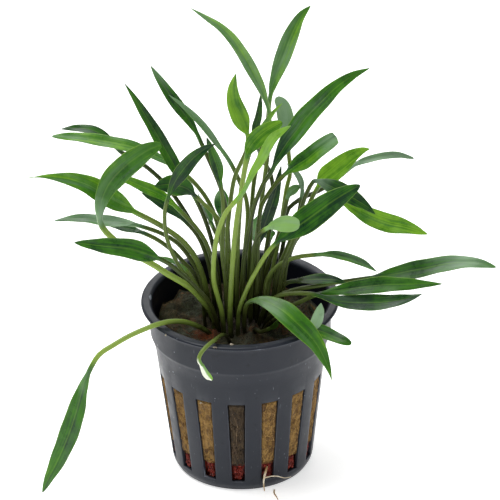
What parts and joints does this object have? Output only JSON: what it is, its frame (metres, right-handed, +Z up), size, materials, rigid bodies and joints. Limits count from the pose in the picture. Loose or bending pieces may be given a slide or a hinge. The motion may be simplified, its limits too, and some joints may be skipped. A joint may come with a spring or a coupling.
{
  "type": "potted cryptocoryne",
  "caption": "Narrow-leaved cryptocoryne aquarium plant rooted in rock wool in a slotted plastic net pot, with fine roots at the pot's foot.",
  "frame": {"origin": "middle of the pot's flat underside", "axes": "+Z up along the pot's axis, front of the pictured view towards -Y, +X to the viewer's right"},
  "size_m": [0.1258, 0.0665, 0.1346],
  "materials": {
    "pot_plastic": "moulded blue-black plastic with a soft sheen",
    "red_clay": "wet red clay granules",
    "rock_wool": "damp brown mineral fibre, mossy on top",
    "leaf": "waxy leaf green, paler on the underside",
    "root": "pale waxy root"
  },
  "bodies": {
    "root": {"pot": "pot_plastic", "red_pad": "red_clay", "rock_wool": "rock_wool", "leaf_top_1": "leaf", "leaf_top_2": "leaf", "leaf_top_3": "leaf", "leaf_top_4": "leaf", "leaf_top_5": "leaf", "leaf_top_6": "leaf", "leaf_right_1": "leaf", "leaf_right_2": "leaf", "leaf_right_3": "leaf", "leaf_right_4": "leaf", "leaf_right_13": "leaf", "leaf_right_5": "leaf", "leaf_right_6": "leaf", "leaf_right_7": "leaf", "leaf_right_8": "leaf", "leaf_middle_1": "leaf", "leaf_middle_2": "leaf", "leaf_right_9": "leaf", "leaf_right_10": "leaf", "leaf_right_11": "leaf", "leaf_right_12": "leaf", "leaf_right_14": "leaf", "leaf_front_1": "leaf", "leaf_front_2": "leaf", "leaf_front_3": "leaf", "leaf_front_4": "leaf", "leaf_front_5": "leaf", "leaf_left_1": "leaf", "leaf_left_2": "leaf", "leaf_left_3": "leaf", "leaf_left_4": "leaf", "leaf_left_5": "leaf", "leaf_left_6": "leaf", "leaf_left_7": "leaf", "leaf_left_8": "leaf", "leaf_left_9": "leaf", "leaf_left_10": "leaf", "leaf_left_11": "leaf", "leaf_left_12": "leaf", "leaf_left_13": "leaf", "leaf_left_14": "leaf", "leaf_left_15": "leaf", "leaf_left_16": "leaf", "leaf_middle_3": "leaf", "leaf_middle_4": "leaf", "leaf_hanging": "leaf", "leaf_back_1": "leaf", "leaf_back_2": "leaf", "leaf_back_3": "leaf", "leaf_back_4": "leaf", "root_main": "root", "root_side": "root", "root_on_floor": "root"}
  },
  "joints": []
}
